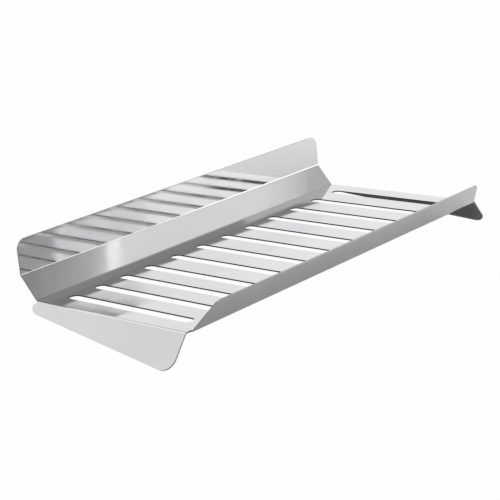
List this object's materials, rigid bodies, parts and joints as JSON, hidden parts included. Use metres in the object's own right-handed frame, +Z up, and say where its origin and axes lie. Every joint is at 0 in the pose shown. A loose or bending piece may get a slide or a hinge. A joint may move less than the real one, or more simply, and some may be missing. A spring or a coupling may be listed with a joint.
{
  "type": "slotted steel rack",
  "caption": "Low folded sheet-steel rack with a slotted floor, a sloped and upright rear side, a low front lip and splayed end legs.",
  "frame": {"origin": "middle of the bounding box in plan, on the surface that the rack stands on", "axes": "+X along the length with the close slots at -X, +Y from the front lip to the rear flange, +Z up"},
  "size_m": [0.5226, 0.2388, 0.0654],
  "materials": {
    "stainless_sheet": "bright cold-rolled stainless sheet, almost mirror-smooth, with darker laser-cut edges"
  },
  "bodies": {
    "root": {"slotted_floor": "stainless_sheet", "rear_wall": "stainless_sheet", "rear_flange": "stainless_sheet", "front_lip": "stainless_sheet", "left_leg": "stainless_sheet", "right_leg": "stainless_sheet"}
  },
  "joints": []
}
